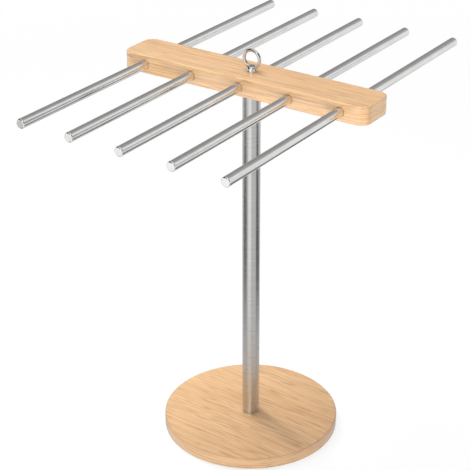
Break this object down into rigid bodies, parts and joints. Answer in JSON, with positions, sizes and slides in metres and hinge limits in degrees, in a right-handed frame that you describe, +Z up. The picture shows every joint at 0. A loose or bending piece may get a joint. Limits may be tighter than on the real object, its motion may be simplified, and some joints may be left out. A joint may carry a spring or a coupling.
{
  "type": "pasta drying rack",
  "caption": "Freestanding pasta drying rack: straight steel arms plug into both long sides of a wooden crossbar that swivels on a steel post over a round wooden base, with a ring on top.",
  "frame": {"origin": "on the ground under the middle of the round base, at the underside of its pads", "axes": "+Z up along the post, X along the crossbar, Y along the arms, with the pictured front at -Y"},
  "size_m": [0.295, 0.44, 0.448],
  "materials": {
    "lacquered_wood": "light hardwood with a fine straight grain under a satin clear lacquer",
    "brushed_post": "stainless steel tube with fine brush marks round it",
    "polished_rod": "polished stainless steel rod",
    "polished_ring": "polished steel",
    "plain_steel": "plain zinc-plated steel",
    "pad_rubber": "matt elastomer"
  },
  "bodies": {
    "base": {"base_disc": "lacquered_wood", "foot_pad_1": "pad_rubber", "foot_pad_2": "pad_rubber", "foot_pad_3": "pad_rubber", "foot_pad_4": "pad_rubber", "base_washer": "plain_steel", "base_screw": "plain_steel", "post_tube": "brushed_post", "post_bottom_plug": "plain_steel", "post_top_plug": "plain_steel"},
    "crossbar": {"crossbar": "lacquered_wood"},
    "eye_bolt": {"eye_bolt": "polished_ring"},
    "arm_front_1": {"arm_front_1": "polished_rod"},
    "arm_front_2": {"arm_front_2": "polished_rod"},
    "arm_front_3": {"arm_front_3": "polished_rod"},
    "arm_front_4": {"arm_front_4": "polished_rod"},
    "arm_front_5": {"arm_front_5": "polished_rod"},
    "arm_back_1": {"arm_back_1": "polished_rod"},
    "arm_back_2": {"arm_back_2": "polished_rod"},
    "arm_back_3": {"arm_back_3": "polished_rod"},
    "arm_back_4": {"arm_back_4": "polished_rod"},
    "arm_back_5": {"arm_back_5": "polished_rod"}
  },
  "joints": [
    {"name": "crossbar_swivel", "type": "hinge", "parent": "base", "child": "crossbar", "pos_m": [0, 0, 0.4142], "axis": [0, 0, 1], "continuous": true},
    {"name": "eye_bolt_removal", "type": "slide", "parent": "base", "child": "eye_bolt", "axis": [0, 0, 1], "range_m": [0, 0.034]},
    {"name": "arm_front_1_removal", "type": "slide", "parent": "crossbar", "child": "arm_front_1", "axis": [0, -1, 0], "range_m": [0, 0.018]},
    {"name": "arm_front_2_removal", "type": "slide", "parent": "crossbar", "child": "arm_front_2", "axis": [0, -1, 0], "range_m": [0, 0.018]},
    {"name": "arm_front_3_removal", "type": "slide", "parent": "crossbar", "child": "arm_front_3", "axis": [0, -1, 0], "range_m": [0, 0.018]},
    {"name": "arm_front_4_removal", "type": "slide", "parent": "crossbar", "child": "arm_front_4", "axis": [0, -1, 0], "range_m": [0, 0.018]},
    {"name": "arm_front_5_removal", "type": "slide", "parent": "crossbar", "child": "arm_front_5", "axis": [0, -1, 0], "range_m": [0, 0.018]},
    {"name": "arm_back_1_removal", "type": "slide", "parent": "crossbar", "child": "arm_back_1", "axis": [0, 1, 0], "range_m": [0, 0.018]},
    {"name": "arm_back_2_removal", "type": "slide", "parent": "crossbar", "child": "arm_back_2", "axis": [0, 1, 0], "range_m": [0, 0.018]},
    {"name": "arm_back_3_removal", "type": "slide", "parent": "crossbar", "child": "arm_back_3", "axis": [0, 1, 0], "range_m": [0, 0.018]},
    {"name": "arm_back_4_removal", "type": "slide", "parent": "crossbar", "child": "arm_back_4", "axis": [0, 1, 0], "range_m": [0, 0.018]},
    {"name": "arm_back_5_removal", "type": "slide", "parent": "crossbar", "child": "arm_back_5", "axis": [0, 1, 0], "range_m": [0, 0.018]}
  ]
}
